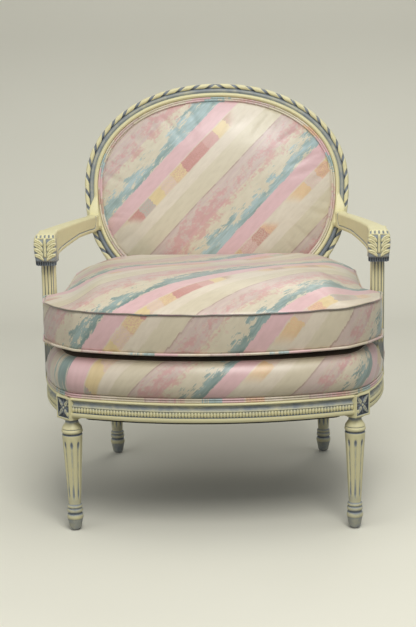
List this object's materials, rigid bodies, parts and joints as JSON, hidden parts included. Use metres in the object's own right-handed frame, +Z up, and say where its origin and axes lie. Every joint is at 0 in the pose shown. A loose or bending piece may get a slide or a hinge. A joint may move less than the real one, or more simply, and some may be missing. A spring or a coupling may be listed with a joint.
{
  "type": "upholstered armchair",
  "caption": "Low upholstered armchair: carved, painted wood frame, oval padded back, open arms on reeded posts, fluted legs and a loose T-shaped seat cushion.",
  "frame": {"origin": "middle of the chair's box in plan, on the floor", "axes": "+Z up, the front faces -Y, +X to the right as seen from the front"},
  "size_m": [0.7158, 0.7194, 0.8491],
  "materials": {
    "painted_wood": "cream paint, glazed",
    "raw_wood": "bare",
    "striped_fabric": "satin weave, diagonal painterly stripes",
    "deck_fabric": "satin weave, diagonal painterly stripes",
    "jute_webbing": "coarse weave",
    "dust_cloth": "matt black",
    "spring_steel": "plain"
  },
  "bodies": {
    "chair_frame": {"back_bottom_rail": "painted_wood", "back_crest_rail": "painted_wood", "back_cross_strap_1": "jute_webbing", "back_cross_strap_2": "jute_webbing", "back_front_welt": "striped_fabric", "back_left_stile": "painted_wood", "back_outer_panel": "striped_fabric", "back_pad": "striped_fabric", "back_rear_welt": "striped_fabric", "back_right_stile": "painted_wood", "back_upright_strap_1": "jute_webbing", "back_upright_strap_2": "jute_webbing", "back_upright_strap_3": "jute_webbing", "dust_cover": "dust_cloth", "front_left_corner_brace": "raw_wood", "front_left_glide": "spring_steel", "front_left_leg": "painted_wood", "front_right_corner_brace": "raw_wood", "front_right_glide": "spring_steel", "front_right_leg": "painted_wood", "front_seat_rail": "painted_wood", "left_arm": "painted_wood", "left_arm_post": "painted_wood", "left_side_rail": "painted_wood", "rear_left_corner_brace": "raw_wood", "rear_left_glide": "spring_steel", "rear_left_leg": "painted_wood", "rear_right_corner_brace": "raw_wood", "rear_right_glide": "spring_steel", "rear_right_leg": "painted_wood", "rear_seat_rail": "painted_wood", "right_arm": "painted_wood", "right_arm_post": "painted_wood", "right_side_rail": "painted_wood", "seat_cross_strap_1": "jute_webbing", "seat_cross_strap_2": "jute_webbing", "seat_cross_strap_3": "jute_webbing", "seat_deck": "deck_fabric", "seat_front_welt": "striped_fabric", "seat_left_welt": "striped_fabric", "seat_long_strap_1": "jute_webbing", "seat_long_strap_2": "jute_webbing", "seat_long_strap_3": "jute_webbing", "seat_rear_welt": "striped_fabric", "seat_right_welt": "striped_fabric", "seat_spring_1": "spring_steel", "seat_spring_2": "spring_steel", "seat_spring_3": "spring_steel", "seat_spring_4": "spring_steel", "seat_spring_5": "spring_steel"},
    "loose_cushion": {"seat_cushion": "striped_fabric", "cushion_lower_welt": "striped_fabric", "cushion_upper_welt": "striped_fabric"}
  },
  "joints": [
    {"name": "cushion_lift_out", "type": "slide", "parent": "chair_frame", "child": "loose_cushion", "axis": [0, -0.9397, 0.342], "range_m": [0, 0.7]}
  ]
}
